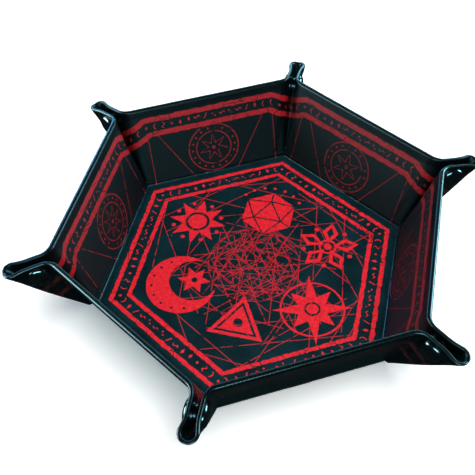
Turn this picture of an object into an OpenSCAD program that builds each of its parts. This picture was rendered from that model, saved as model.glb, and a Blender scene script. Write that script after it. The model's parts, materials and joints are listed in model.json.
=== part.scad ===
// Folding hexagonal dice tray.
//
// A flat hexagonal sheet of leather-look skin over stiff board folds up along the six sides of its
// floor. Each corner is pinched outward into a fin, whose two soft webs are held by a snap fastener.
// The tray stands on the XY plane, centred on the Z axis, with its walls raised and its snaps closed.

/* [Tray] */
// Length of one side of the floor, from crease corner to crease corner
floor_side = 90; // [86:1:110]
// Height of a wall, measured up its slope from the crease to the rim
wall_height = 52; // [48:1:60]
// Angle of a raised wall above the ground
wall_angle = 72.4; // [68:0.1:80]

/* [Sheet] */
// Thickness of one layer of skin
skin_t = 0.7; // [0.5:0.1:0.8]
// Thickness of the stiffening board between the skins
board_t = 1.6; // [1.4:0.1:2]
// Thickness of a corner web, which is skin and lining with no board
web_t = 2; // [1.6:0.1:2.2]
// Gap between the two webs of a pinched corner
pinch_gap = 3.6; // [3.6:0.1:4]
// Radius of the rounded outer end of a corner fin
fin_tip_r = 6; // [3:1:9]

/* [Snaps] */
// Diameter of a domed snap cap
cap_d = 12.6; // [11:0.1:13]
// Height of a snap cap above the web
cap_h = 2.2; // [1.6:0.1:2.6]
// Distance of a snap's centre from its web's fold line
snap_reach = 9.8; // [9.2:0.1:10.4]
// Distance of a snap's centre from the floor's corner, along its web's fold line
snap_rise = 45.2; // [40:0.1:45.2]

/* [Hidden] */
sides = 6;
half_corner = 180 / sides; // angle between a crease's perpendicular and the fin's fold line
sheet_t = board_t + 2 * skin_t;
mid_z = sheet_t / 2; // height of the floor's mid-plane, where the creases lie
apothem = floor_side / 2 / tan(half_corner);

// The crease is a round bead of skin along the floor's edge, with no board in it
bead_r = 1.1;
bead_gap = 0.4; // clearance between a bead and the panel that turns about it
crease_inset = bead_r + bead_gap;

// Line along which the planes of two neighbouring walls meet, seen in one wall's plane
corner_lean = atan(cos(wall_angle) * tan(half_corner));
// Angle that a web turns outward from its wall to lie along the corner's radial plane
web_angle = acos(sin(wall_angle) * sin(half_corner));
web_offset = (web_t + pinch_gap) / 2; // from the radial plane to a web's mid-plane
hinge_inset = web_offset / sin(web_angle); // from the corner line to the web's fold line
panel_inset = hinge_inset + web_t / 2 + bead_gap; // from the corner line to the wall panel's end

web_start = 6; // distance up a web's fold line at which the web begins
web_rim_y = (wall_height - hinge_inset * sin(corner_lean)) / cos(corner_lean); // and ends
fold_clearance = 1; // gap between a web and the fin's fold line

snap_r = 5; // flange radius of the socket and the stud
snap_edge = 0.3; // width of the bevels on the socket and the stud
barrel_r = 1.1; // radius of the tube on a cap that clinches it through the web
clinch_r = 1.9; // spread end of the socket cap's barrel
clinch_t = 0.3;
cap_skirt_h = 0.5; // height of the straight side below a cap's dome
socket_h = pinch_gap / 2 + 0.6; // the socket crosses the radial plane to take the stud
socket_floor_t = 0.8;
socket_cup_r = snap_r - 0.8;
socket_bore_r = 2.15;
stud_flange_t = 0.9;
stud_neck_h = 1.2;
stud_h = pinch_gap / 2 + 0.4;
stud_neck_r = 1.6;
stud_head_r = 1.85;
stud_bore_h = stud_h - 0.5; // the head's top is closed over the cap's barrel

curve_fn = 64;
snap_fn = 48;
through = 0.01; // how far a cutter runs past the face that it cuts
far = 2 * wall_height; // larger than any outline that it trims

skin_color = "#14181c";
lining_color = "#0f1c22";
board_color = "#b9a27c";
web_color = "#1a1f24";
cap_color = "#0b0c0e";
snap_color = "#3a3d42";

// ---- Outlines ----

// Floor hexagon, with a wall on +X and corners on the Y axis
module floor_outline(inset) {
    rotate(half_corner) circle(r = (apothem - inset) / cos(half_corner), $fn = sides);
}

// Half the length of a wall panel, at height y up the wall
function panel_half_length(y, inset) =
    floor_side / 2 + y * tan(corner_lean) - (panel_inset + inset) / cos(corner_lean);

// Wall panel between its crease, its two webs and its rolled rim
module panel_outline(inset) {
    low = crease_inset + inset;
    high = wall_height - sheet_t / 2 - inset;
    polygon([
        [-panel_half_length(low, inset), low],
        [panel_half_length(low, inset), low],
        [panel_half_length(high, inset), high],
        [-panel_half_length(high, inset), high]
    ]);
}

// Unit vector in a web's plane, at an angle from the perpendicular to the crease
function web_direction(angle) = [sin(angle - corner_lean), cos(angle - corner_lean)];

// Web between its wall, the rim and the fin's fold line. X runs away from the wall's end, and Y
// up the web's own fold line, from the level of the floor's corner.
module web_outline() {
    corner = [hinge_inset, 0];
    tip_centre = corner + (wall_height - fin_tip_r) / cos(half_corner) * web_direction(half_corner);
    difference() {
        polygon(concat(
            [[0, web_start], [0, web_rim_y]],
            [for (a = [0:half_corner / 5:half_corner]) tip_centre + fin_tip_r * web_direction(a)],
            [corner + web_start * web_direction(half_corner)]
        ));
        translate(corner) rotate(corner_lean - half_corner) translate([-fold_clearance, 0])
            square(far);
    }
}

// ---- Frames ----

// Frame of a wall: X along its crease, Y up the wall, Z toward the inside of the tray
module at_wall(i) {
    rotate((i - 1) * 360 / sides - 90) translate([0, apothem, mid_z]) rotate([wall_angle, 0, 0])
        children();
}

// Frame of a web at one end of a wall: X away from the wall, Y up the fold, Z into the fin's gap.
// The corner's socket is on the wall before it, and its stud on the wall after it.
module at_web(i, carries_socket) {
    at_wall(carries_socket ? i : i % sides + 1) mirror([carries_socket ? 1 : 0, 0, 0])
        translate([floor_side / 2, 0, 0]) rotate(-corner_lean) translate([-hinge_inset, 0, 0])
            rotate([0, web_angle, 0]) children();
}

// Centre of a snap on the lining side of its web
module at_snap(i, carries_socket) {
    at_web(i, carries_socket) translate([snap_reach, snap_rise, web_t / 2]) children();
}

// ---- Panels: an outer skin below, a lining above, and a board shut in between them ----

// Half of a panel's covering, from the mid-plane up, hollow where the board lies
module half_cover() {
    difference() {
        linear_extrude(sheet_t / 2) children(0);
        translate([0, 0, -through]) linear_extrude(board_t / 2 + through) children(1);
    }
}

module board(colour) {
    color(colour) translate([0, 0, -board_t / 2]) linear_extrude(board_t) children();
}

// Upper half of the beads round the floor, mitred at the corners, and of the thin lip that joins
// them to the floor
module half_bead() {
    linear_extrude(skin_t) difference() {
        floor_outline(0);
        floor_outline(crease_inset);
    }
    for (i = [1:sides]) rotate(i * 360 / sides) intersection() {
        // The turn keeps the cylinder's seam off the planes that cut it.
        translate([apothem, 0, 0]) rotate([90, 0, 0]) rotate(45)
            cylinder(r = bead_r, h = 2 * floor_side, center = true, $fn = snap_fn);
        linear_extrude(2 * bead_r)
            polygon([[0, 0], 2 * [apothem, -floor_side / 2], 2 * [apothem, floor_side / 2]]);
    }
}

module base_half_cover() {
    half_cover() {
        floor_outline(crease_inset);
        floor_outline(crease_inset + skin_t);
    }
    half_bead();
}

module base_outer_skin() {
    color(skin_color) translate([0, 0, mid_z]) mirror([0, 0, 1]) base_half_cover();
}

module base_board() {
    translate([0, 0, mid_z]) board(board_color) floor_outline(crease_inset + skin_t);
}

module base_lining() {
    color(lining_color) translate([0, 0, mid_z]) base_half_cover();
}

module wall_half_cover() {
    half_cover() {
        panel_outline(0);
        panel_outline(skin_t);
    }
}

// The outer skin turns over the rim in a round roll, which closes the panel's top edge
module rim_roll() {
    roll_y = wall_height - sheet_t / 2;
    length = 2 * panel_half_length(roll_y, 0);
    translate([0, roll_y, 0]) intersection() {
        rotate([0, 90, 0]) cylinder(r = sheet_t / 2, h = length, center = true, $fn = curve_fn);
        translate([-length, 0, -sheet_t]) cube([2 * length, sheet_t, 2 * sheet_t]);
    }
}

module wall_outer_skin(i) {
    color(skin_color) at_wall(i) {
        mirror([0, 0, 1]) wall_half_cover();
        rim_roll();
    }
}

module wall_board(i) {
    at_wall(i) board(board_color) panel_outline(skin_t);
}

module wall_lining(i) {
    color(lining_color) at_wall(i) wall_half_cover();
}

// ---- Corner webs ----

// One soft half of a fin, with a round edge along its fold and a hole for its snap's barrel
module corner_web(i, carries_socket) {
    color(web_color) at_web(i, carries_socket) difference() {
        union() {
            translate([0, 0, -web_t / 2]) linear_extrude(web_t) web_outline();
            translate([0, web_start, 0]) rotate([-90, 0, 0])
                cylinder(r = web_t / 2, h = web_rim_y - web_start, $fn = snap_fn);
        }
        translate([snap_reach, snap_rise, 0])
            cylinder(r = barrel_r, h = 2 * web_t, center = true, $fn = snap_fn);
    }
}

// ---- Snap fasteners ----

// Domed cap on the outer face, with the barrel that runs through the web
module snap_cap(i, carries_socket, barrel_h) {
    dome_h = cap_h - cap_skirt_h;
    dome_r = (pow(cap_d / 2, 2) + pow(dome_h, 2)) / 2 / dome_h;
    color(cap_color) at_snap(i, carries_socket) {
        translate([0, 0, -web_t - cap_skirt_h])
            cylinder(d = cap_d, h = cap_skirt_h, $fn = curve_fn);
        intersection() {
            translate([0, 0, dome_r - web_t - cap_h]) sphere(r = dome_r, $fn = 2 * curve_fn);
            translate([0, 0, -web_t - cap_h]) cylinder(d = cap_d, h = dome_h, $fn = curve_fn);
        }
        translate([0, 0, -web_t - through]) cylinder(r = barrel_r, h = web_t + barrel_h, $fn = snap_fn);
    }
}

// The socket's cap is held by the end of its barrel, which is spread over the socket's floor
module socket_cap(i) {
    snap_cap(i, true, socket_floor_t + clinch_t);
    color(cap_color) at_snap(i, true) translate([0, 0, socket_floor_t])
        cylinder(r = clinch_r, h = clinch_t, $fn = snap_fn);
}

module stud_cap(i) {
    snap_cap(i, false, stud_bore_h);
}

// Female half: a flanged cup whose bore takes the stud's head
module socket(i) {
    color(snap_color) at_snap(i, true) rotate_extrude($fn = curve_fn) polygon([
        [barrel_r, 0],
        [snap_r, 0],
        [snap_r, socket_floor_t],
        [socket_cup_r, socket_floor_t + snap_edge],
        [socket_cup_r, socket_h - snap_edge],
        [socket_cup_r - snap_edge, socket_h],
        [socket_bore_r, socket_h],
        [socket_bore_r, socket_floor_t],
        [barrel_r, socket_floor_t]
    ]);
}

// Male half: a flange with a necked head, hollow for its cap's barrel
module stud(i) {
    color(snap_color) at_snap(i, false) rotate_extrude($fn = curve_fn) polygon([
        [barrel_r, 0],
        [snap_r, 0],
        [snap_r, stud_flange_t - snap_edge],
        [snap_r - snap_edge, stud_flange_t],
        [stud_neck_r, stud_flange_t],
        [stud_neck_r, stud_neck_h],
        [stud_head_r, stud_neck_h + snap_edge],
        [stud_head_r, stud_h - snap_edge],
        [stud_head_r - snap_edge, stud_h],
        [0, stud_h],
        [0, stud_bore_h],
        [barrel_r, stud_bore_h]
    ]);
}

// ---- Assembly ----

base_outer_skin();
base_board();
base_lining();
for (i = [1:sides]) {
    wall_outer_skin(i);
    wall_board(i);
    wall_lining(i);
    corner_web(i, true);
    corner_web(i, false);
    socket_cap(i);
    socket(i);
    stud(i);
    stud_cap(i);
}
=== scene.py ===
"""Looks of the folding hexagonal dice tray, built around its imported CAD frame.

The skin and the lining are rebuilt as soft sheet goods: floor, creases, walls, pinched corner webs
and the folds at their outer ends. The snaps' caps are rebuilt as pressed domes. The boards, sockets
and studs keep their CAD shapes and get their materials here. Lengths are in metres, and angles in
radians unless a name or a comment says degrees. The print and the shaders' fields are in
millimetres.
"""

import json
import math

import bmesh
import bpy
import numpy as np
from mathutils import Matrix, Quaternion, Vector


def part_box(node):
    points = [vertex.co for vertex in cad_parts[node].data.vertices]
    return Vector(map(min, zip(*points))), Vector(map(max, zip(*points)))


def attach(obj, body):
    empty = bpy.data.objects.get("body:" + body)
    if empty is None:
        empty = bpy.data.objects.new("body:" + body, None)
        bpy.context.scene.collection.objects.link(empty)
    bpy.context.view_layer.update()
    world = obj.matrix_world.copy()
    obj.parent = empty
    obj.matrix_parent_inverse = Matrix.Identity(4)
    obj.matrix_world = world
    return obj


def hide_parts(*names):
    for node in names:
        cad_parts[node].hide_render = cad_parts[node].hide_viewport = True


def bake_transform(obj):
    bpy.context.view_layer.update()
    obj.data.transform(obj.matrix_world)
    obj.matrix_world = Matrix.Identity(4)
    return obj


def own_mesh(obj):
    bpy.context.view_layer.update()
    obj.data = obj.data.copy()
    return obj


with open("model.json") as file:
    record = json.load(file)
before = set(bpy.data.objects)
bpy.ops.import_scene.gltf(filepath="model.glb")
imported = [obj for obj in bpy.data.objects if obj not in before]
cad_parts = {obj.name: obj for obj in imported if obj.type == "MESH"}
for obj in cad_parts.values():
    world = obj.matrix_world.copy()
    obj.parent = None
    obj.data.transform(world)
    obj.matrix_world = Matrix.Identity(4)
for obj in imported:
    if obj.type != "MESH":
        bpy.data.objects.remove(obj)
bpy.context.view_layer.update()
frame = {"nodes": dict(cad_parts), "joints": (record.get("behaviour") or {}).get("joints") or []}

MM = 0.001
SIDES = 6
TURN = 2 * math.pi / SIDES
HALF_TURN = TURN / 2


def joint(name):
    return next(j for j in frame["joints"] if j["name"] == name)


# ---- Dimensions, read from the frame ----

wall_fold = joint("wall_1_fold")
apothem = wall_fold["pos_m"][0]
mid_z = wall_fold["pos_m"][2]  # height of the floor's mid-plane, where the creases lie
half_t = mid_z  # half the thickness of the boarded sheet
wall_angle = math.radians(wall_fold["range_deg"][1])
half_side = apothem * math.tan(HALF_TURN)
rim_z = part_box("wall_1_outer_skin")[1].z
wall_height = (rim_z - mid_z - half_t) / math.sin(wall_angle) + half_t
board_low, board_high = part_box("base_board")
half_board = (board_high.z - board_low.z) / 2
layer_gap = 0.02 * MM  # between a board and the sheets that cover it
layer_low = half_board + layer_gap  # inner face of the lining and of the skin over a board

# Line along which the planes of two neighbouring walls meet, seen in one wall's plane, and the
# turn from a wall into the radial plane of its corner
corner_lean = math.atan(math.cos(wall_angle) * math.tan(HALF_TURN))
web_turn = math.acos(math.sin(wall_angle) * math.sin(HALF_TURN))
corner_rise = math.atan2(math.sin(wall_angle), math.cos(wall_angle) / math.cos(HALF_TURN))
fold_slope = math.tan(HALF_TURN - corner_lean)  # of a fin's outer fold, seen from the corner line

# ---- Dimensions of the soft parts ----

crease_reach = 5 * MM  # a crease strip ends this far from its fold line, on both sides
crease_bend = 2.0 * MM  # from the fold line to the ends of a crease's bend
crease_core_t = 1.2 * MM  # half thickness in the crease, where there is no board
groove_ramp = 0.6 * MM  # over which a crease's groove rises to the full thickness
patch_half = 6.5 * MM  # half length of the flat bridge in the middle of a crease
patch_ramp = 0.5 * MM  # half of the stretch over which the bridge's end slopes
board_edge = (1.4 * MM, 2 * MM)  # from the fold line: the layers part here to pass the board
hem = 1.2 * MM  # how far the skin comes down inside the rim
hem_seam = 0.05 * MM  # between the hem and the lining
web_half_t = 1.0 * MM
web_wall_reach = 9 * MM  # part of the wall that belongs to a web's piece
web_taper = (-8 * MM, -1 * MM)  # from the corner line: the wall thins to the web between these
mouth_gap = 1.15 * MM  # from the radial plane to a web's mid-surface, at the foot of the fin
pinch_gap = 2.8 * MM  # and where the snap holds it
pinch_rise = 36 * MM  # distance up the corner over which the one grows into the other
mouth_bend = 4.4 * MM  # half width of the bend from a wall into its web, at the rim
mouth_rise = 40 * MM  # height up the corner line at which the bend is as wide as that
foot_bend = 1 * MM
flare_turn = 0.26  # how far the webs part again above the snap
flare_low, flare_high = 46 * MM, 55 * MM
flare_width = 8 * MM
fin_tip_r = 6 * MM
loop_turn = math.radians(14)  # from the corner line to the seam between a web and its fold
bend_rise = 45 * MM  # height up the corner line at which a web's turn about its wall is read
bend_start = 2 * MM  # from the middle of that turn toward the wall, so that the board stays covered
dome_h = 2.3 * MM  # of a snap's cap, above its rolled edge
dome_fullness = 0.9  # below 1, the dome is flatter in the middle and steeper at its edge
dome_arcs, edge_arcs, dome_steps = 17, 5, 48
edge_r = 0.25 * MM
barrel_r = 1.1 * MM


def smoothstep(value, low, high):
    t = np.clip((value - low) / (high - low), 0, 1)
    return t * t * (3 - 2 * t)


# ---- The folded sheet: from flat coordinates to space ----
#
# Each wall has its own flat coordinates: x runs along its crease, and y away from the crease, up the
# wall or, below zero, into the floor. Lift is the height above the sheet's mid-surface, on the
# lining's side. Every shape is made for a wall that faces +Y, and then turned to its place.


def crease_surface(x, y, lift):
    """The edge of the floor, the bend at its crease, and the wall."""
    bend_r = crease_bend / math.tan(wall_angle / 2)
    turn = np.clip((y + crease_bend) / (2 * crease_bend), 0, 1) * wall_angle
    before = np.minimum(y, -crease_bend)
    after = np.maximum(y, crease_bend) - crease_bend
    out = before + bend_r * np.sin(turn) + after * math.cos(wall_angle)
    up = bend_r * (1 - np.cos(turn)) + after * math.sin(wall_angle)
    return np.stack([
        x,
        apothem + out - lift * np.sin(turn),
        mid_z + up + lift * np.cos(turn)
    ], -1)


def web_gap(u):
    """Distance from the radial plane to a web's mid-surface, at height u up the corner line."""
    return mouth_gap + (pinch_gap - mouth_gap) * smoothstep(u, 0, pinch_rise)


def corner_surface(x, y, lift):
    """The end of a wall, its bend into the pinched corner, the web and the web's outer fold."""
    # u runs up the corner line, and s square to it, below zero on the wall
    u = (x - half_side) * math.sin(corner_lean) + y * math.cos(corner_lean)
    s = (x - half_side) * math.cos(corner_lean) - y * math.sin(corner_lean)
    gap = web_gap(u)
    bend_s = -gap / math.sin(web_turn)
    bend_w = foot_bend + (mouth_bend - foot_bend) * smoothstep(u, crease_reach, mouth_rise)
    flare = flare_turn * smoothstep(u, flare_low, flare_high)
    flare_rise = flare * flare_width / 2
    fold_s = u * fold_slope
    fold_r = (gap + flare_rise) / np.cos(flare)
    loop_s = fold_s - fold_r * (1 + np.sin(flare))

    # p runs outward from the corner line and m toward the wall, both square to the corner line
    wall_part = np.minimum(s, bend_s - bend_w)
    p = wall_part * math.cos(web_turn)
    m = -wall_part * math.sin(web_turn)
    bend_r = bend_w / math.tan(web_turn / 2)
    tangent = web_turn * (1 - np.clip((s - bend_s + bend_w) / (2 * bend_w), 0, 1))
    p = p + bend_r * (math.sin(web_turn) - np.sin(tangent))
    m = m - bend_r * (np.cos(tangent) - math.cos(web_turn))
    p = p + np.clip(s, bend_s + bend_w, np.maximum(loop_s, bend_s + bend_w)) - bend_s - bend_w
    share = np.clip((s - loop_s) / flare_width + 1, 0, 1)
    m = m + flare_rise * (2 * share ** 3 - share ** 4)
    tangent = tangent - flare * (3 * share ** 2 - 2 * share ** 3)
    curl = np.clip((s - loop_s) / (fold_s - loop_s), 0, 1) * (math.pi / 2 + flare)
    start = -flare
    p = p + np.where(s > loop_s, fold_r * (np.sin(start + curl) - np.sin(start)), 0)
    m = m - np.where(s > loop_s, fold_r * (np.cos(start) - np.cos(start + curl)), 0)
    tangent = tangent + curl

    p = p - lift * np.sin(tangent)
    m = m - lift * np.cos(tangent)
    radial = np.array([math.sin(HALF_TURN), math.cos(HALF_TURN), 0])
    upward = np.array([0, 0, 1])
    along_corner = radial * math.cos(corner_rise) + upward * math.sin(corner_rise)
    outward = radial * math.sin(corner_rise) - upward * math.cos(corner_rise)
    wallward = np.array([-math.cos(HALF_TURN), math.sin(HALF_TURN), 0])
    foot = np.array([half_side, apothem, mid_z])
    return foot + u[..., None] * along_corner + p[..., None] * outward + m[..., None] * wallward


def rim_y(x):
    """Flat height of the rim, which turns down in a curve at the tip of a fin."""
    tip_x = half_side + (wall_height - fin_tip_r) * math.tan(HALF_TURN)
    past = np.clip(x - tip_x, 0, fin_tip_r)
    return wall_height - fin_tip_r + np.sqrt(fin_tip_r ** 2 - past ** 2)


# ---- Meshes ----


def to_wall(points, i):
    """Turns points made for a wall facing +Y to wall i, which faces (i - 1) * 60 degrees."""
    a = (i - 1) * TURN - math.pi / 2
    turn = np.array([[math.cos(a), -math.sin(a), 0], [math.sin(a), math.cos(a), 0], [0, 0, 1]])
    return points @ turn.T


def mirror_x(points):
    """Swaps the two ends of a wall."""
    return points * np.array([-1, 1, 1])


def new_piece(name, points, plan, faces, materials, face_materials=None, sharp_degrees=50):
    """A mesh piece whose UV map, plan, holds each point's place on the flat sheet."""
    mesh = bpy.data.meshes.new(name)
    mesh.from_pydata([tuple(p) for p in points], [], faces)
    piece = bpy.data.objects.new(name, mesh)
    bpy.context.scene.collection.objects.link(piece)
    for material in materials:
        mesh.materials.append(material)
    uv = mesh.uv_layers.new(name="plan")
    index = np.zeros(len(mesh.loops), int)
    mesh.loops.foreach_get("vertex_index", index)
    uv.data.foreach_set("uv", plan[index].astype(np.float32).ravel())
    if face_materials is not None:
        mesh.polygons.foreach_set("material_index", face_materials)
    mesh.shade_smooth()
    bm = bmesh.new()
    bm.from_mesh(mesh)
    bmesh.ops.remove_doubles(bm, verts=bm.verts, dist=0.001 * MM)
    bmesh.ops.dissolve_degenerate(bm, dist=0.0005 * MM, edges=bm.edges)
    bmesh.ops.recalc_face_normals(bm, faces=bm.faces)
    bm.to_mesh(mesh)
    bm.free()
    mesh.set_sharp_from_angle(angle=math.radians(sharp_degrees))
    return piece


def plan_of(x, y, i, flipped):
    """Place on the flat sheet of a point of wall i."""
    a = (i - 1) * TURN - math.pi / 2
    across = -x if flipped else x
    out = apothem + y
    return np.stack([
        across * math.cos(a) - out * math.sin(a),
        across * math.sin(a) + out * math.cos(a)
    ], -1)


def shell(name, surface, i, outer, inner, materials, flipped=False, split_row=None):
    """A closed piece between two sides of the folded sheet.

    Each side is a grid of x, of y and of lift. Faces of the outer side take the first material, and
    those of the inner side, the edges and the outer side from split_row on take the last.
    """
    sides, plans = [], []
    for x, y, lift in (outer, inner):
        points = surface(x, y, lift)
        points = to_wall(mirror_x(points) if flipped else points, i)
        sides.append(points.reshape(-1, 3))
        plans.append(plan_of(x, y, i, flipped).reshape(-1, 2))
    rows, columns = outer[0].shape
    count = rows * columns
    faces, face_materials = [], []
    last = len(materials) - 1
    for r in range(rows - 1):
        for c in range(columns - 1):
            a = r * columns + c
            quad = [a, a + 1, a + columns + 1, a + columns]
            faces += [quad, [count + k for k in reversed(quad)]]
            face_materials += [0 if split_row is None or r < split_row else last, last]
    edge = list(range(columns))
    edge += [r * columns + columns - 1 for r in range(1, rows)]
    edge += [(rows - 1) * columns + c for c in range(columns - 2, -1, -1)]
    edge += [r * columns for r in range(rows - 2, 0, -1)]
    for a, b in zip(edge, edge[1:] + edge[:1]):
        faces.append([b, a, count + a, count + b])
        face_materials.append(last)
    return new_piece(
        name, np.concatenate(sides), np.concatenate(plans), faces, materials, face_materials
    )


def flat_area(x, y):
    """Area of a grid in flat coordinates."""
    dx1, dy1 = x[1:, 1:] - x[:-1, :-1], y[1:, 1:] - y[:-1, :-1]
    dx2, dy2 = x[1:, :-1] - x[:-1, 1:], y[1:, :-1] - y[:-1, 1:]
    return float(np.abs(dx1 * dy2 - dx2 * dy1).sum() / 2)


def declare(piece, x, y, held, slot, rests_on, *nodes, with_pieces=()):
    """Hides the CAD nodes that a piece stands for; the piece's flat size is worked out but not kept.
    """
    width, height = float(x.max() - x.min()), float(y.max() - y.min())
    min(flat_area(x, y), width * height)
    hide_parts(*nodes)


# ---- Shader fields: numbers that vary over the surface, worked out by Math nodes ----


class Field:
    """A value in a shader that plain arithmetic turns into Math nodes."""

    def __init__(self, tree, value):
        self.tree = tree
        self.value = value

    def math(self, operation, *others):
        node = self.tree.nodes.new("ShaderNodeMath")
        node.operation = operation
        for socket, other in zip(node.inputs, (self, *others)):
            if isinstance(other, Field):
                self.tree.links.new(other.value, socket)
            else:
                socket.default_value = other
        return Field(self.tree, node.outputs[0])

    def __add__(self, other):
        return self.math("ADD", other)

    __radd__ = __add__

    def __mul__(self, other):
        return self.math("MULTIPLY", other)

    __rmul__ = __mul__

    def __sub__(self, other):
        return self.math("SUBTRACT", other)

    def __rsub__(self, other):
        return self.math("MULTIPLY_ADD", -1, other)

    def __truediv__(self, other):
        return self.math("DIVIDE", other)

    def __neg__(self):
        return self.math("MULTIPLY", -1)

    def __abs__(self):
        return self.math("ABSOLUTE")

    def low(self, other):
        return self.math("MINIMUM", other)

    def high(self, other):
        return self.math("MAXIMUM", other)

    def step(self, start, end):
        """0 before start and 1 after end, or the other way round where end is below start."""
        node = self.tree.nodes.new("ShaderNodeMapRange")
        node.interpolation_type = "SMOOTHSTEP"
        self.tree.links.new(self.value, node.inputs["Value"])
        node.inputs["From Min"].default_value = min(start, end)
        node.inputs["From Max"].default_value = max(start, end)
        node.inputs["To Min"].default_value = 0 if start < end else 1
        node.inputs["To Max"].default_value = 1 if start < end else 0
        return Field(self.tree, node.outputs["Result"])


def length(x, y):
    return (x * x + y * y).math("SQRT")


def scatter(seed):
    """A number from 0 to 1 that only depends on the seed, and looks random from one to the next."""
    turns_per_step, spread = 12.9898, 437.585  # any two numbers with no simple ratio do
    return ((seed * turns_per_step).math("SINE") * spread).math("FRACT")


def turned(x, y, degrees):
    """Coordinates in axes that are turned by an angle."""
    c, s = math.cos(math.radians(degrees)), math.sin(math.radians(degrees))
    return x * c + y * s, y * c - x * s


def folded(x, y, count, degrees=0):
    """Coordinates in one of count equal sectors about the centre, the first along x."""
    r = length(x, y)
    sector = 2 * math.pi / count
    a = y.math("ARCTAN2", x) - math.radians(degrees)
    a = a - (a / sector + 0.5).math("FLOOR") * sector
    return r * a.math("COSINE"), r * a.math("SINE")


# Distances to shapes, in millimetres: below zero inside the shape


def disc(x, y, r):
    return length(x, y) - r


def ring(x, y, r, width):
    return abs(length(x, y) - r) - width / 2


def band(y, middle, width):
    return abs(y - middle) - width / 2


def bar(x, y, half_x, half_y):
    return (abs(x) - half_x).high(abs(y) - half_y)


def lozenge(x, y, half_x, half_y):
    size = math.hypot(half_x, half_y)
    return abs(x) * (half_y / size) + abs(y) * (half_x / size) - half_x * half_y / size


def polygon(x, y, count, inner_r, degrees=0):
    return folded(x, y, count, degrees)[0] - inner_r


def star(x, y, count, tip_r, waist_r, degrees=0):
    """Star with straight-sided points."""
    fx, fy = folded(x, y, count, degrees)
    half = math.pi / count
    waist_x, waist_y = waist_r * math.cos(half), waist_r * math.sin(half)
    edge = math.hypot(tip_r - waist_x, waist_y)
    return (fx - tip_r) * (waist_y / edge) + abs(fy) * ((tip_r - waist_x) / edge)


def dot_circle(x, y, count, circle_r, dot_r, degrees=0):
    fx, fy = folded(x, y, count, degrees)
    return disc(fx - circle_r, fy, dot_r)


# ---- Print on the sheet: bands, bead marks and plain geometric emblems, in millimetres ----

apothem_mm = apothem / MM
half_side_mm = half_side / MM
FLOOR_BANDS = (-6.8, -15.6)  # distances of the bands' middles from the fold line, up the wall
FLOOR_BAND_WIDTH = 2.35
WALL_BANDS = (44.4, 35.0)
WALL_BAND_WIDTH = 3.2
CHAMFER_SHIFT = 8.7  # level of a band less its distance from the floor's corner
MARK_PITCH = 5.2
MARK_WOBBLE = 1.2  # how unevenly the marks sit across their row
WAVES_PER_MM = 1.9  # radians of a wavy mark for each millimetre
MEDALLION_Y = 18.1
MEDALLION_CLEAR = 16.5  # radius about a medallion that the thin lines stay out of
LINE_WIDTH = 0.34
WEB_RADIUS = 26
SLANT_DEGREES = 30.25  # of the thin lines on a wall, from square to its crease
SLANT_OFFSET = 11.5
UPRIGHT_X = 39  # of the thin lines that stand square to the crease
NEVER = 1000  # added to a distance, it takes a shape away


def union(*shapes):
    merged = shapes[0]
    for shape in shapes[1:]:
        merged = merged.low(shape)
    return merged


def cut(shape, *holes):
    for hole in holes:
        shape = shape.high(-hole)
    return shape


def bead_marks(along, across):
    """A row of small waves, leaves, lozenges, ticks and dots, one to a cell, in a mixed order."""
    cell = (along / MARK_PITCH).math("FLOOR")
    x = along - (cell + 0.5) * MARK_PITCH
    pick = scatter(cell + 0.37)
    across = across + (scatter(cell + 7.13) - 0.5) * MARK_WOBBLE
    upright_wave = x + (across * WAVES_PER_MM).math("SINE") * 0.75
    level_wave = across + (x * WAVES_PER_MM).math("SINE") * 0.6
    curve = x + across * across * 0.3 - 0.5
    shapes = [
        disc(x, across, 0.7),
        lozenge(x, across, 0.9, 1.7),
        bar(x + across * 0.5, across, 0.3, 1.6),
        bar(upright_wave, across, 0.32, 1.9),
        bar(curve, across, 0.34, 1.8),
        bar(level_wave, x, 0.3, 1.9),
        union(bar(x, across, 0.28, 1.3), bar(x, across, 1.1, 0.28)),
        union(disc(x - 0.8, across - 0.7, 0.5), disc(x + 0.7, across + 0.8, 0.45))
    ]
    half_share = 0.5 / len(shapes)
    chosen = []
    for k, shape in enumerate(shapes):
        from_share = abs(pick - (2 * k + 1) * half_share) - half_share
        chosen.append(shape + from_share.high(0) * NEVER)
    return union(*chosen)


def sun(x, y):
    rays = cut(star(x, y, 8, 17, 8.6), ring(x, y, 6.4, 1.7))
    return union(rays, dot_circle(x, y, 8, 14.2, 1.2, 22.5))


def facets(x, y):
    """A twenty-sided shape, seen square to one of its faces, under an arch of dots."""
    hexagon_r, face_r, groove = 16.5, 9.4, 0.9
    fx, fy = folded(x, y, 3, 90)
    side = abs(fy)
    spokes = band(side, 0, groove).high(face_r - fx)
    lean = math.atan2(face_r - hexagon_r * math.cos(math.pi / 3), hexagon_r * math.sin(math.pi / 3))
    wings = band((fx - face_r) * math.cos(lean) + side * math.sin(lean), 0, groove)
    face = band(fx * math.sin(math.pi / 6) + side * math.cos(math.pi / 6), face_r / 2, groove)
    outline = polygon(x, y, 6, hexagon_r * math.cos(math.pi / 6), 60)
    arch_foot = 8
    arch = dot_circle(x, y, 20, 20.5, 0.95).high(arch_foot - y)
    return union(cut(outline, spokes, wings, face), arch)


def rosette(x, y):
    """Five petals about a beaded ring."""
    fx, fy = folded(x, y, 5, 18)
    petal_r = 10.5
    petals = cut(lozenge(fx - petal_r, fy, 7.5, 4.8), lozenge(fx - petal_r, fy, 4.2, 2.2))
    return union(petals, ring(x, y, 4.6, 1.1), disc(x, y, 2.2), dot_circle(x, y, 5, 14, 1.3, 54))


def compass(x, y):
    """Four long and four short points in a ring."""
    points = union(star(x, y, 4, 22, 5.6, 15), star(x, y, 4, 15.5, 6.4, 60))
    return union(cut(points, ring(x, y, 3.9, 1.2)), ring(x, y, 17.2, 1.0))


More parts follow.
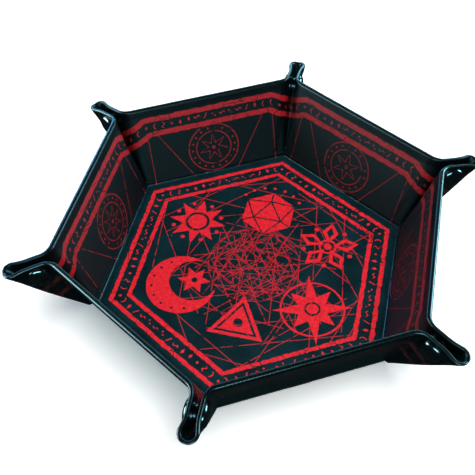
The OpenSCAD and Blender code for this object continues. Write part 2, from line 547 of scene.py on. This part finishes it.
def triangles(x, y):
    """A triangle with a smaller one and a disc cut into it."""
    outer = polygon(x, y, 3, 8.8, -90)
    inner_line = abs(polygon(x, y, 3, 6.2, -90)) - 0.65
    return cut(outer, inner_line, disc(x, y, 2.7))


def crescent(x, y):
    """A moon with a row of holes along its back, and a star between its tips."""
    moon = cut(disc(x, y, 19.5), disc(x - 6.2, y - 4.0, 13.6))
    holes = dot_circle(x, y, 15, 16.4, 0.8, 4).high(x * 0.84 + y * 0.54)
    star_x, star_y = x - 6.6, y - 4.3
    rays = cut(star(star_x, star_y, 6, 9.2, 4.6, 5), disc(star_x, star_y, 1.7))
    return union(cut(moon, holes), rays)


# Each emblem with the place of its centre on the floor
EMBLEMS = (
    (sun, -39.5, 23.7),
    (facets, 0.4, 39.0),
    (rosette, 39.0, 21.3),
    (compass, 37.7, -23.1),
    (triangles, 0.4, -40.5),
    (crescent, -36.5, -22.6)
)


def scattered_lines(x, y, degrees, spacing, reach):
    """Parallel lines at uneven distances and of uneven lengths."""
    along, across = turned(x, y, degrees)
    row = (across / spacing).math("FLOOR")
    chance = scatter(row + degrees)
    middle = (row + 0.5 + (chance - 0.5) * 0.9) * spacing
    line = abs(across - middle) - LINE_WIDTH / 2
    shift = (scatter(row - degrees) - 0.5) * reach
    return line.high(abs(along + shift) - (chance * 0.6 + 0.6) * reach)


def line_web(x, y):
    """Crossing lines, dense within a circle in the middle of the floor and sparse outside it."""
    dense = [scattered_lines(x, y, 7 + 35 * k, 6.2, 25) for k in range(5)]
    outline = ring(x, y, WEB_RADIUS, LINE_WIDTH)
    middle = union(*dense, outline).high(disc(x, y, WEB_RADIUS))
    sparse = [scattered_lines(x, y, 19 + 26 * k, 16.5, 42) for k in range(7)]
    return union(middle, *sparse)


def medallion(x, y, points):
    """Ringed star in thin lines. The number of its points may be a field."""
    waist_r, point_h, line_half = 3.4, 5.4, 0.45
    a = y.math("ARCTAN2", x) - math.pi / 2
    share = a * points / (2 * math.pi)
    share = abs(share - (share + 0.5).math("FLOOR")) * 2  # 0 at a point, and 1 between two
    outline = length(x, y) - (1 - share) * (1 - share) * point_h - waist_r
    return union(
        abs(outline) - line_half, disc(x, y, 1.2), dot_circle(x, y, 18, 13.3, 0.65),
        ring(x, y, 15.6, 0.75), ring(x, y, 10.9, 0.65)
    )


def printed(x, y):
    """Distances to the bands, the marks and emblems, the medallions and the thin lines."""
    out, along = folded(x, y, SIDES)
    up = out - apothem_mm
    side = abs(along)
    off_wall = -up
    from_corner = (side - half_side_mm) * math.sin(HALF_TURN) + up * math.cos(HALF_TURN)
    level = up.high(from_corner + CHAMFER_SHIFT)
    bands = union(
        *[band(level, middle, WALL_BAND_WIDTH) for middle in WALL_BANDS],
        *[band(up, middle, FLOOR_BAND_WIDTH) for middle in FLOOR_BANDS]
    )
    marks = union(
        bead_marks(along, level - sum(WALL_BANDS) / 2),
        bead_marks(along + 0.3 * MARK_PITCH, up - sum(FLOOR_BANDS) / 2)
    )
    emblems = union(*[emblem(x - cx, y - cy) for emblem, cx, cy in EMBLEMS])

    from_medallion = up - MEDALLION_Y
    sector = y.math("ARCTAN2", x) / TURN
    points = abs((sector + 0.5).math("FLOOR")) + 5
    medallions = medallion(along, from_medallion, points).high(off_wall)

    floor_lines = line_web(x, y).high(up - FLOOR_BANDS[1])
    slanted = band(turned(side, up, -SLANT_DEGREES)[0], SLANT_OFFSET, LINE_WIDTH)
    slanted = cut(slanted, disc(along, from_medallion, MEDALLION_CLEAR))
    upright = band(side, UPRIGHT_X, LINE_WIDTH)
    wall_lines = slanted.low(upright).high(off_wall).high(level - WALL_BANDS[1])
    return bands, marks.low(emblems), medallions, floor_lines.low(wall_lines)


# ---- Materials ----


def srgb(r, g, b):
    """Linear colour of an 8-bit sRGB one."""
    return tuple(
        c / 12.92 if c <= 0.04045 else ((c + 0.055) / 1.055) ** 2.4
        for c in (r / 255, g / 255, b / 255)
    ) + (1,)


def new_material(name):
    material = bpy.data.materials.new(name)
    material.use_nodes = True
    tree = material.node_tree
    return material, tree, tree.nodes["Principled BSDF"]


def mixed(tree, share, first, second):
    """Colour between two colours. Each is a fixed colour or a socket."""
    node = tree.nodes.new("ShaderNodeMix")
    node.data_type = "RGBA"
    tree.links.new(share.value, node.inputs["Factor"])
    for socket, colour in ((node.inputs["A"], first), (node.inputs["B"], second)):
        if isinstance(colour, tuple):
            socket.default_value = colour
        else:
            tree.links.new(colour, socket)
    return node.outputs["Result"]


def noise(tree, vector, scale, detail=2, roughness=0.5):
    node = tree.nodes.new("ShaderNodeTexNoise")
    node.inputs["Scale"].default_value = scale
    node.inputs["Detail"].default_value = detail
    node.inputs["Roughness"].default_value = roughness
    tree.links.new(vector, node.inputs["Vector"])
    return Field(tree, node.outputs["Fac"])


def cells(tree, vector, scale):
    """Distance to the nearest edge between the cells of a cracked pattern, as in leather grain."""
    node = tree.nodes.new("ShaderNodeTexVoronoi")
    node.feature = "DISTANCE_TO_EDGE"
    node.inputs["Scale"].default_value = scale
    tree.links.new(vector, node.inputs["Vector"])
    return Field(tree, node.outputs["Distance"])


def bump(tree, height, distance):
    node = tree.nodes.new("ShaderNodeBump")
    node.inputs["Distance"].default_value = distance
    node.inputs["Strength"].default_value = 1
    tree.links.new(height.value, node.inputs["Height"])
    return node.outputs["Normal"]


def object_coordinates(tree):
    return tree.nodes.new("ShaderNodeTexCoord").outputs["Object"]


def plan_coordinates(tree):
    """Place on the flat sheet in millimetres: a vector, and its two fields."""
    uv = tree.nodes.new("ShaderNodeUVMap")
    uv.uv_map = "plan"
    scaled = tree.nodes.new("ShaderNodeVectorMath")
    scaled.operation = "SCALE"
    scaled.inputs["Scale"].default_value = 1 / MM
    tree.links.new(uv.outputs["UV"], scaled.inputs[0])
    parts = tree.nodes.new("ShaderNodeSeparateXYZ")
    tree.links.new(scaled.outputs["Vector"], parts.inputs["Vector"])
    x, y = [Field(tree, parts.outputs[axis]) for axis in ("X", "Y")]
    return scaled.outputs["Vector"], x, y


def worn_ink(tree, vector, x, y):
    """Share of ink on the sheet: chipped bands, worn emblems and broken thin lines."""
    bands, solid, medallions, lines = printed(x, y)
    chips = noise(tree, vector, 0.3, 5, 0.55) - 0.5
    nibble = noise(tree, vector, 2.1, 3, 0.6) - 0.5
    cracked = noise(tree, vector, 0.09, 1).step(0.47, 0.5)
    cracks = cells(tree, vector, 0.14).step(0.012, 0.03).high(cracked)
    worn = noise(tree, vector, 1.3, 5, 0.7).step(0.33, 0.39)
    broken = noise(tree, vector, 0.22, 3, 0.6).step(0.36, 0.46)
    band_ink = (bands + chips * 2.1 + nibble).step(0.14, -0.14) * cracks * worn
    solid_ink = (solid + chips * 0.9 + nibble * 0.7).step(0.12, -0.12) * worn
    fine_ink = (medallions + nibble * 0.5).step(0.14, -0.14) * broken * 0.62
    line_ink = (lines + nibble * 0.22).step(0.14, -0.08) * broken * 0.72
    return band_ink.high(solid_ink).high(fine_ink).high(line_ink)


def printed_leather(name, base, base_light, ink, ink_light, matte, glossy, grain, specular):
    """Grained sheet with a worn screen print, glossy above the walls' bands, with painted shade on
    the walls.

    The base speckles into base_light, and the ink into ink_light. Matte and glossy are the
    roughness below a wall's outer band and above it, and grain is in millimetres.
    """
    wall_painted_shade, wall_speckle, wall_ink_painted_shade, wall_haze = 0.7, 0.8, 0.3, 0.1
    material, tree, shader = new_material(name)
    vector, x, y = plan_coordinates(tree)
    inked = worn_ink(tree, vector, x, y)
    up = folded(x, y, SIDES)[0] - apothem_mm
    on_wall = up.step(0, 6)
    fine = noise(tree, vector, 2.6, 3, 0.6)
    cloud = noise(tree, vector, 0.045, 4, 0.6)

    speckle = fine.step(0.5, 0.68) * 0.7 + cloud.step(0.3, 0.7) * 0.3
    ground = mixed(tree, speckle * (1 - on_wall * wall_speckle), base, base_light)
    # Painted shade: the walls' base is darkened toward black
    ground = mixed(tree, on_wall * wall_painted_shade, ground, (0, 0, 0, 1))
    red = mixed(tree, noise(tree, vector, 0.5, 3).step(0.3, 0.75), ink, ink_light)
    # Painted shade: the ink is dimmed on the walls
    colour = mixed(tree, inked * (1 - on_wall * wall_ink_painted_shade), ground, red)
    tree.links.new(colour, shader.inputs["Base Color"])

    band_top = WALL_BANDS[0] + 1
    sheen = up.step(band_top, band_top + 2) * (matte - glossy)
    crease = abs(up).step(4.5, 2.5)
    roughness = (fine - 0.5) * 0.2 + matte + on_wall * wall_haze - sheen - crease * 0.3
    tree.links.new(roughness.high(glossy).value, shader.inputs["Roughness"])
    pebbles = cells(tree, vector, 1.15).step(0, 0.28)
    height = (pebbles * 0.6 + fine * 0.5) * (1 - crease * 0.8)
    tree.links.new(bump(tree, height, grain * MM), shader.inputs["Normal"])
    shader.inputs["Specular IOR Level"].default_value = specular
    return material


def snap_material(name, base, worn_colour, roughness, metallic, specular=0.5):
    """Lacquered or plated metal with a faint ripple and small scuffs."""
    material, tree, shader = new_material(name)
    vector = object_coordinates(tree)
    scuffs = noise(tree, vector, 900, 6, 0.7).step(0.62, 0.72)
    tree.links.new(mixed(tree, scuffs * 0.5, base, worn_colour), shader.inputs["Base Color"])
    haze = noise(tree, vector, 260, 3)
    tree.links.new((haze * 0.12 + scuffs * 0.15 + roughness).value, shader.inputs["Roughness"])
    tree.links.new(bump(tree, haze + scuffs * 0.3, 0.04 * MM), shader.inputs["Normal"])
    shader.inputs["Metallic"].default_value = metallic
    shader.inputs["Specular IOR Level"].default_value = specular
    return material


def board_material():
    """Grey-brown board, with fibres and faint clouding."""
    material, tree, shader = new_material("board_fibre")
    vector = object_coordinates(tree)
    fibres = noise(tree, vector, 1400, 5, 0.8)
    cloud = noise(tree, vector, 60, 3)
    share = (fibres * 0.7 + cloud * 0.3).step(0.3, 0.7)
    tree.links.new(
        mixed(tree, share, srgb(150, 126, 92), srgb(196, 172, 134)), shader.inputs["Base Color"]
    )
    tree.links.new((fibres * 0.2 + 0.75).value, shader.inputs["Roughness"])
    tree.links.new(bump(tree, fibres, 0.05 * MM), shader.inputs["Normal"])
    return material


lining = printed_leather(
    "printed_lining", base=srgb(4, 17, 21), base_light=srgb(16, 52, 60),
    ink=srgb(178, 24, 36), ink_light=srgb(202, 38, 48),
    matte=0.38, glossy=0.22, grain=0.035, specular=0.14
)
# The skin's print is real, but its ink colours are darkened almost to black: painted shade
skin = printed_leather(
    "glossy_skin", base=srgb(4, 7, 9), base_light=srgb(10, 14, 18),
    ink=srgb(58, 7, 12), ink_light=srgb(78, 12, 18),
    matte=0.24, glossy=0.18, grain=0.02, specular=0.35
)
cap_lacquer = snap_material(
    "black_lacquer", srgb(6, 7, 9), srgb(60, 62, 66), roughness=0.08, metallic=0, specular=1.0
)
black_nickel = snap_material(
    "black_nickel", srgb(48, 50, 55), srgb(110, 112, 116), roughness=0.22, metallic=1
)
cardboard = board_material()


# ---- Pieces ----


def grid(rows, columns):
    """Shares from 0 to 1 down the rows and across the columns."""
    return np.meshgrid(np.linspace(0, 1, rows), np.linspace(0, 1, columns), indexing="ij")


def floor_sheet(name, top, bottom, material, node):
    """Hexagonal layer of the floor, between its creases."""
    rings, steps = 26, 12
    corner_r = (apothem - crease_reach) / math.cos(HALF_TURN)
    corners = [
        np.array([math.cos(HALF_TURN + k * TURN), math.sin(HALF_TURN + k * TURN)]) * corner_r
        for k in range(SIDES)
    ]
    outline = [
        corners[k] + (corners[(k + 1) % SIDES] - corners[k]) * j / steps
        for k in range(SIDES) for j in range(steps)
    ]
    count = len(outline)
    layers = []
    for z in (mid_z + top, mid_z + bottom):
        layers += [[*(p * r / rings), z] for r in range(rings + 1) for p in outline]
    points = np.array(layers)
    layer = (rings + 1) * count
    faces = []
    for r in range(rings):
        for k in range(count):
            a, b = r * count + k, r * count + (k + 1) % count
            quad = [a, b, b + count, a + count]
            faces.append(quad)
            faces.append([layer + v for v in reversed(quad)])
    for k in range(count):
        a, b = rings * count + k, rings * count + (k + 1) % count
        faces.append([a, b, layer + b, layer + a])
    piece = new_piece(name, points, points[:, :2], faces, [material])
    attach(piece, "base")
    across_corners, across_flats = 2 * corner_r, 2 * corner_r * math.cos(HALF_TURN)
    3 * corner_r * across_flats / 2
    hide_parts(node)


def crease_half_t(x, y):
    """Half thickness of a crease, with a groove on both faces that a flat patch interrupts."""
    groove = 1 - smoothstep(np.abs(y), crease_bend, crease_bend + groove_ramp)
    patch = 1 - smoothstep(np.abs(x), patch_half - patch_ramp, patch_half + patch_ramp)
    return half_t - (half_t - crease_core_t) * groove * (1 - patch)


def crease_strips(i):
    """The two layers of skin that bend along one side of the floor."""
    rows, columns = 41, 97
    v, a = grid(rows, columns)
    y = (2 * v - 1) * crease_reach
    inner = layer_gap / 2 + (layer_low - layer_gap / 2) * smoothstep(np.abs(y), *board_edge)
    blend_reach = crease_bend + 0.5 * MM
    start, end = [
        to_wall(crease_surface(np.zeros(1), np.full(1, side * blend_reach), 0), i)[0]
        for side in (-1, 1)
    ]
    for name, side, materials, slot in (
        ("lining", 1, [lining], "lining"), ("skin", -1, [skin], "outer_skin")
    ):
        outer_x = (2 * a - 1) * half_side
        outer_lift = side * crease_half_t(outer_x, y)
        inner_lift = side * inner
        xs = []
        for lift in (outer_lift, inner_lift):
            reach = crease_surface(outer_x, y, lift)[..., 1] * math.tan(HALF_TURN)
            xs.append((2 * a - 1) * reach)
        piece = shell(
            f"crease_{i}_{name}", crease_surface, i, (xs[0], y, outer_lift),
            (xs[1], y, inner_lift), materials
        )
        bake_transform(piece)
        declare(piece, xs[0], y, "folded", slot, ["base_board"])


def wall_reach(y):
    """Half length of a wall's own piece, at height y up the wall."""
    return half_side + y * math.tan(corner_lean) - web_wall_reach / math.cos(corner_lean)


def wall_sheets(i):
    """Lining and outer skin of a wall, with the skin rolled over the rim and down its inside."""
    panel_rows, arc_rows, hem_rows, columns = 33, 13, 5, 65
    across = np.linspace(-1, 1, columns)[None, :]
    roll_y = wall_height - half_t
    hem_y = roll_y - hem

    y = np.linspace(crease_reach, hem_y - hem_seam, panel_rows)[:, None] + 0 * across
    x = across * wall_reach(y)
    piece = shell(
        f"wall_{i}_inside", crease_surface, i, (x, y, np.full_like(y, half_t)),
        (x, y, np.full_like(y, layer_low)), [lining]
    )
    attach(piece, f"wall_{i}")
    declare(piece, x, y, "stretched", "lining", [f"wall_{i}_board"], f"wall_{i}_lining")

    board_y = roll_y - (half_t - half_board) + layer_gap
    arc = np.linspace(-math.pi / 2, math.pi / 2, arc_rows)[1:-1]
    outer_y = np.concatenate([
        np.linspace(crease_reach, roll_y, panel_rows), roll_y + half_t * np.cos(arc),
        np.linspace(roll_y, hem_y, hem_rows)
    ])
    outer_lift = np.concatenate([
        np.full(panel_rows, -half_t), half_t * np.sin(arc), np.full(hem_rows, half_t)
    ])
    inner_y = np.concatenate([
        np.linspace(crease_reach, board_y, panel_rows), np.full(len(arc), board_y),
        np.linspace(board_y, hem_y, hem_rows)
    ])
    inner_lift = np.concatenate([
        np.full(panel_rows, -layer_low), np.linspace(-layer_low, layer_low, len(arc) + 2)[1:-1],
        np.full(hem_rows, layer_low)
    ])
    sides = []
    for ys, lifts in ((outer_y, outer_lift), (inner_y, inner_lift)):
        y = ys[:, None] + 0 * across
        sides.append((across * wall_reach(y), y, lifts[:, None] + 0 * across))
    piece = shell(
        f"wall_{i}_outside", crease_surface, i, sides[0], sides[1], [skin, lining],
        split_row=panel_rows + arc_rows // 2 - 1
    )
    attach(piece, f"wall_{i}")
    wrap = math.pi * half_t + hem
    flat = (2 * wall_reach(roll_y), roll_y - crease_reach + wrap)
    (wall_reach(crease_reach) + wall_reach(roll_y)) * flat[1]
    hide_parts(f"wall_{i}_outer_skin")


def upright_grid(foot_x, top_x, columns, rows=45, rim_rows=9):
    """Columns that run straight from the crease's end to the rim, and over half of its round edge.

    Returns x, y and the half thickness, which falls from the wall's to the web's.
    """
    across = np.linspace(0, 1, columns)[None, :]
    x0 = foot_x[0] + (foot_x[1] - foot_x[0]) * across
    x1 = top_x[0] + (top_x[1] - top_x[0]) * across
    y1 = rim_y(x1)
    from_corner = (x1 - half_side) * math.cos(corner_lean) - y1 * math.sin(corner_lean)
    on_web = smoothstep(from_corner, *web_taper)
    thickness = web_half_t + (half_t - web_half_t) * (1 - on_web)
    rise = np.linspace(0, 1, rows)[:, None]
    arc = np.linspace(0, math.pi / 2, rim_rows)[1:, None]
    low = crease_reach + (y1 - thickness - crease_reach) * rise
    high = y1 - thickness + thickness * np.sin(arc)
    y = np.concatenate([low, high])
    x = x0 + (x1 - x0) * (y - crease_reach) / (y1 - crease_reach)
    lift = np.concatenate([thickness + 0 * rise, thickness * np.cos(arc)])
    return x, y, lift


def corner_side(i, flipped):
    """Web and outer fold at one end of wall i: the socket side if flipped, or the stud side."""
    corner = i if flipped else (i - 2) % SIDES + 1
    side = "socket" if flipped else "stud"
    body = f"corner_{corner}_{side}_side"
    seam_slope = math.tan(corner_lean + loop_turn)
    tip_y = wall_height - fin_tip_r * (1 - math.cos(HALF_TURN))

    wall_end = [wall_reach(y) for y in (crease_reach, wall_height)]
    seam = [half_side + y * seam_slope for y in (crease_reach, wall_height)]
    fold = [half_side + y * math.tan(HALF_TURN) for y in (crease_reach, tip_y)]

    def placed(points):
        return to_wall(mirror_x(points) if flipped else points, i)

    web_x, web_y, lift = upright_grid(
        (wall_end[0], seam[0]), (wall_end[1], seam[1]), columns=49
    )
    web = shell(
        f"corner_{corner}_{side}_web_skin", corner_surface, i, (web_x, web_y, lift),
        (web_x, web_y, -lift), [lining, skin], flipped
    )
    bend_s = -pinch_gap / math.sin(web_turn)
    start, end = [
        placed(corner_surface(
            np.array([half_side + bend_rise * math.sin(corner_lean) + s * math.cos(corner_lean)]),
            np.array([bend_rise * math.cos(corner_lean) - s * math.sin(corner_lean)]), 0
        ))[0]
        for s in (bend_s - bend_start, bend_s + mouth_bend)
    ]
    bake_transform(web)

    x, y, lift = upright_grid((seam[0], fold[0]), (seam[1], fold[1]), columns=21)
    loop = shell(
        f"corner_{corner}_{side}_fold", corner_surface, i, (x, y, lift), (x, y, -lift),
        [lining, skin], flipped
    )
    normal = placed(np.array([-math.cos(HALF_TURN), math.sin(HALF_TURN), 0]))
    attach(loop, body)
    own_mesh(loop)
    declare(
        web, web_x, web_y, "folded", "web", [f"wall_{i}_board"], f"corner_{corner}_{side}_web",
        with_pieces=[loop]
    )


def dome_profile(cap_r, depth):
    """A cap's outline as radius and rise, from its top over the rolled edge to the barrel's end."""
    profile = [
        (cap_r * math.sin(a) ** dome_fullness, -dome_h * (1 - math.cos(a) ** dome_fullness))
        for a in np.linspace(0, math.pi / 2, dome_arcs)
    ]
    profile += [
        (cap_r - edge_r * (1 - math.cos(a)), -dome_h - edge_r * math.sin(a))
        for a in np.linspace(0, math.pi / 2, edge_arcs)[1:]
    ]
    return profile + [(barrel_r, profile[-1][1]), (barrel_r, -depth), (0, -depth)]


def snap_dome(corner, side):
    """Pressed cap of a snap: a puffed dome with a rolled edge, in the place of the CAD's cap."""
    node = f"corner_{corner}_{side}_cap"
    corner_angle = (corner - 0.5) * TURN
    sign = -1 if side == "socket" else 1
    out = Vector((-math.sin(corner_angle), math.cos(corner_angle), 0)) * sign
    heights = [v.co.dot(out) for v in frame["nodes"][node].data.vertices]
    top, foot = max(heights), min(heights)
    low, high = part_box(node)
    centre = (low + high) / 2
    centre += out * (top - centre.dot(out))
    profile = dome_profile((high.z - low.z) / 2, top - foot)
    upward = Vector((0, 0, 1))
    side_axis = upward.cross(out)
    points, faces = [], []
    for r, rise in profile:
        for k in range(dome_steps):
            a = 2 * math.pi * k / dome_steps
            around = side_axis * math.cos(a) + upward * math.sin(a)
            points.append(centre + around * r + out * rise)
    for row in range(len(profile) - 1):
        for k in range(dome_steps):
            a, b = row * dome_steps + k, row * dome_steps + (k + 1) % dome_steps
            faces.append((a, b, b + dome_steps, a + dome_steps))
    piece = new_piece(
        f"corner_{corner}_{side}_cap_dome", points, np.zeros((len(points), 2)), faces,
        [cap_lacquer], sharp_degrees=70
    )
    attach(piece, f"corner_{corner}_{side}_side")
    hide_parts(node)


floor_sheet("floor_lining", half_t, layer_low, lining, "base_lining")
floor_sheet("floor_skin", -half_t, -layer_low, skin, "base_outer_skin")
for number in range(1, SIDES + 1):
    crease_strips(number)
    wall_sheets(number)
    corner_side(number, flipped=True)
    corner_side(number, flipped=False)
    snap_dome(number, "socket")
    snap_dome(number, "stud")

CAD_MATERIALS = {"board": cardboard, "socket": black_nickel, "stud": black_nickel}
for node, cad_piece in frame["nodes"].items():
    finish = CAD_MATERIALS.get(node.rsplit("_", 1)[1])
    if finish is not None:
        cad_piece.data.materials.clear()
        cad_piece.data.materials.append(finish)


# ---- Stage, light and camera ----


def table_top():
    """Plain white floor of the studio, a hair below the tray."""
    mesh = bpy.data.meshes.new("table_top")
    reach = 3
    mesh.from_pydata(
        [(-reach, -reach, 0), (reach, -reach, 0), (reach, reach, 0), (-reach, reach, 0)],
        [], [(0, 1, 2, 3)]
    )
    table = bpy.data.objects.new("table_top", mesh)
    bpy.context.scene.collection.objects.link(table)
    table.location.z = -0.05 * MM
    material, tree, shader = new_material("table_paint")
    shader.inputs["Base Color"].default_value = (0.93, 0.93, 0.93, 1)
    shader.inputs["Roughness"].default_value = 0.9
    shader.inputs["Emission Color"].default_value = (1, 1, 1, 1)
    shader.inputs["Emission Strength"].default_value = 0.3
    mesh.materials.append(material)
    table.visible_glossy = False


def area_light(name, azimuth, elevation, distance, size, radiance, colour):
    """Rectangular soft light that faces the tray, placed by angles in degrees."""
    data = bpy.data.lights.new(name, "AREA")
    data.shape = "RECTANGLE"
    data.size, data.size_y = size
    data.energy = radiance * math.pi * size[0] * size[1]
    data.color = colour
    light = bpy.data.objects.new(name, data)
    bpy.context.scene.collection.objects.link(light)
    back = direction(azimuth, elevation)
    light.location = back * distance
    light.rotation_euler = (-back).to_track_quat("-Z", "Y").to_euler()
    return light


def direction(azimuth, elevation):
    """Unit vector from the tray. Azimuth 0 degrees points to its front, -Y, and 90 to its right."""
    a, e = math.radians(azimuth), math.radians(elevation)
    return Vector((math.sin(a) * math.cos(e), -math.cos(a) * math.cos(e), math.sin(e)))


def photo_camera():
    """Camera that sees the tray as the photo does."""
    azimuth, elevation, roll = 14.65, 50.70, 1.64  # in degrees
    target = Vector((-13.4 * MM, 16.7 * MM, 2 * mid_z))
    distance = 436.5 * MM
    data = bpy.data.cameras.new("photo_camera")
    data.lens = 56.6
    data.sensor_width = 36
    data.clip_start = 0.01
    camera = bpy.data.objects.new("photo_camera", data)
    bpy.context.scene.collection.objects.link(camera)
    back = direction(azimuth, elevation)
    camera.location = target + back * distance
    level = (-back).to_track_quat("-Z", "Y")
    camera.rotation_mode = "QUATERNION"
    camera.rotation_quaternion = Quaternion(back, math.radians(-roll)) @ level
    bpy.context.scene.camera = camera


# Coloured softboxes that only show as reflections: name, azimuth and elevation in degrees, size,
# radiance and colour
GLINTS = (
    ("back", 178, 19, (1.5, 0.2), 20, (0.3, 0.85, 1.0)),
    ("front", 12, 24, (1.0, 0.35), 24, (0.35, 0.9, 1.0)),
    ("left", -76, 17, (0.9, 0.7), 26, (0.5, 0.9, 1.0)),
    ("back_left", -130, 20, (0.3, 0.4), 32, (0.15, 0.5, 1.0)),
    ("back_right", 118, 14, (0.7, 0.6), 32, (0.35, 0.85, 1.0))
)
GLINT_DISTANCE = 1.2

table_top()
overhead = area_light(
    "overhead", azimuth=70, elevation=78, distance=1.0, size=(0.8, 0.8), radiance=9,
    colour=(1.0, 0.98, 0.97)
)
overhead.visible_glossy = False
for name, azimuth, elevation, size, radiance, colour in GLINTS:
    glint = area_light(name, azimuth, elevation, GLINT_DISTANCE, size, radiance, colour)
    glint.visible_diffuse = False
photo_camera()

world = bpy.data.worlds.new("studio")
bpy.context.scene.world = world
world.use_nodes = True
background = world.node_tree.nodes["Background"]
background.inputs["Color"].default_value = (0.3, 0.8, 0.9, 1)
background.inputs["Strength"].default_value = 0.03
bpy.context.scene.view_settings.view_transform = "Standard"
